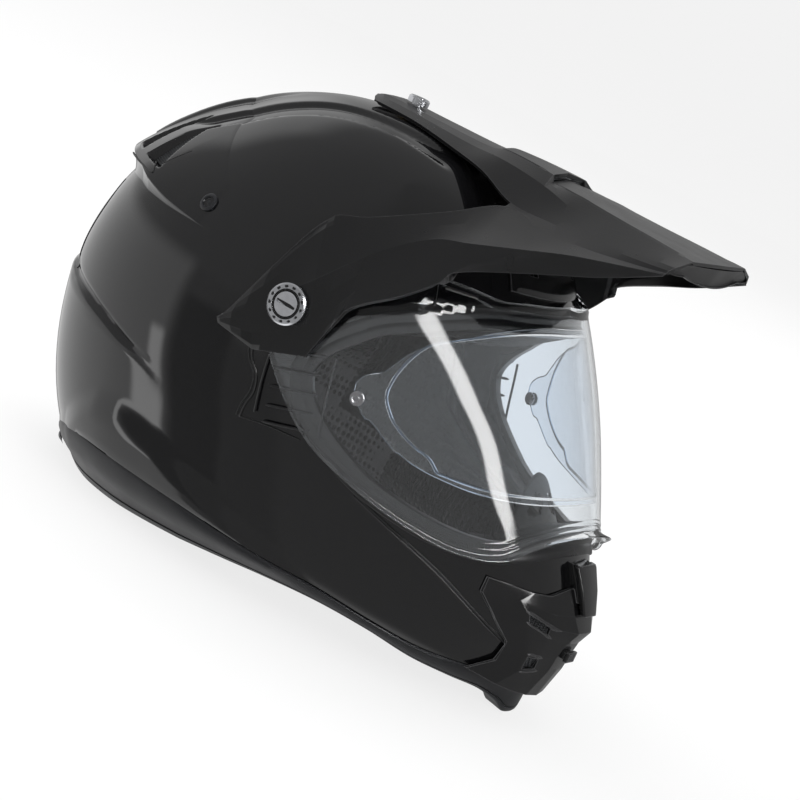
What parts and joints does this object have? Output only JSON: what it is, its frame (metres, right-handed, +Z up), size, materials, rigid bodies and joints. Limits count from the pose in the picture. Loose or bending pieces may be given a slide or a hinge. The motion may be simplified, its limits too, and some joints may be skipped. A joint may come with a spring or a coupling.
{
  "type": "enduro helmet",
  "caption": "Full-face enduro helmet with a tilting peak, a lifting clear shield, chin and rear vents, cloth liner, cheek pads and a buckled chin strap.",
  "frame": {"origin": "on the resting plane below the head opening, on the middle plane, 126 mm in front of the point where the rear rim touches", "axes": "+X to the front, +Y to the wearer's left, +Z up; the helmet stands on its rim"},
  "size_m": [0.3479, 0.266, 0.2606],
  "materials": {
    "shell": "gloss black moulded shell",
    "vents": "satin black vent parts",
    "trim": "matte dark grey trim",
    "peak": "matte charcoal, fine grain",
    "foam": "matte beaded foam",
    "lining": "brushed wicking cloth",
    "pads": "open mesh cloth over foam",
    "rubber": "matte moulded rubber",
    "clear": "clear polished plastic",
    "film": "clear soft film",
    "silicone": "translucent silicone bead",
    "screws": "turned, fine satin",
    "brass": "plain",
    "steel": "brushed",
    "mesh": "black woven wire",
    "webbing": "woven webbing",
    "buckle": "matte black moulding",
    "lever": "red moulding"
  },
  "bodies": {
    "shell_body": {"outer_shell": "shell", "base_trim": "trim", "impact_liner": "foam", "comfort_liner": "lining", "cheek_pad_left": "pads", "cheek_pad_right": "pads", "neck_roll": "lining", "chin_foam": "foam", "chin_curtain": "lining", "eye_port_gasket": "rubber", "breath_guard": "rubber", "chin_vent_housing": "vents", "chin_vent_meshes": "mesh", "brow_vent_cover": "vents", "rear_exhaust": "vents", "exhaust_meshes": "mesh", "rear_fin": "trim", "pivot_boss_left": "trim", "pivot_boss_right": "trim", "side_nut_left": "brass", "side_nut_right": "brass", "side_washer_left": "rubber", "side_washer_right": "rubber", "top_nut": "brass", "side_plugs": "vents", "snap_studs": "steel", "strap_anchors": "steel", "strap_left": "webbing", "strap_right": "webbing", "buckle_body": "steel", "buckle_pin": "steel", "strap_tongue": "buckle"},
    "shield_body": {"shield": "clear", "shield_ear_left": "clear", "shield_ear_right": "clear", "anti_fog_insert": "film", "insert_seal": "silicone", "insert_pins": "clear"},
    "peak_body": {"peak": "peak", "peak_meshes": "mesh"},
    "chin_flap_body": {"chin_flap": "vents"},
    "chin_shutter_body": {"chin_shutter": "vents"},
    "brow_vent_slider_body": {"brow_vent_slider": "vents"},
    "buckle_lever_body": {"buckle_lever": "lever"},
    "side_screw_left_body": {"side_screw_left": "screws"},
    "side_screw_right_body": {"side_screw_right": "screws"},
    "top_screw_body": {"top_screw": "screws"}
  },
  "joints": [
    {"name": "shield_lift", "type": "hinge", "parent": "shell_body", "child": "shield_body", "pos_m": [0.00543, 0, 0.15276], "axis": [0, -1, 0], "range_deg": [0, 40]},
    {"name": "peak_tilt", "type": "hinge", "parent": "shell_body", "child": "peak_body", "pos_m": [0.00543, 0, 0.15276], "axis": [0, -1, 0], "range_deg": [-1, 0.5]},
    {"name": "side_screw_left_turn", "type": "hinge", "parent": "shell_body", "child": "side_screw_left_body", "pos_m": [0.00543, 0.12837, 0.15276], "axis": [0.0502, 0.9973, 0.0543], "continuous": true},
    {"name": "side_screw_right_turn", "type": "hinge", "parent": "shell_body", "child": "side_screw_right_body", "pos_m": [0.00543, -0.12837, 0.15276], "axis": [0.0502, -0.9973, 0.0543], "continuous": true},
    {"name": "top_screw_turn", "type": "hinge", "parent": "shell_body", "child": "top_screw_body", "pos_m": [-0.04028, 0, 0.24347], "axis": [-0.0384, 0, 0.9993], "continuous": true},
    {"name": "chin_flap_tilt", "type": "hinge", "parent": "shell_body", "child": "chin_flap_body", "pos_m": [0.16447, 0, 0.08722], "axis": [0, -1, 0], "range_deg": [0, 15]},
    {"name": "chin_shutter_slide", "type": "slide", "parent": "shell_body", "child": "chin_shutter_body", "axis": [0, 1, 0], "range_m": [-0.004, 0.004]},
    {"name": "brow_slider_slide", "type": "slide", "parent": "shell_body", "child": "brow_vent_slider_body", "axis": [0, 1, 0], "range_m": [-0.005, 0.005]},
    {"name": "buckle_lever_lift", "type": "hinge", "parent": "shell_body", "child": "buckle_lever_body", "pos_m": [0.00561, 0.014, 0.01266], "axis": [0.9993, 0, 0.0384], "range_deg": [0, 40], "stiffness_Nm_per_rad": 0.02, "springref_deg": -11.46}
  ]
}
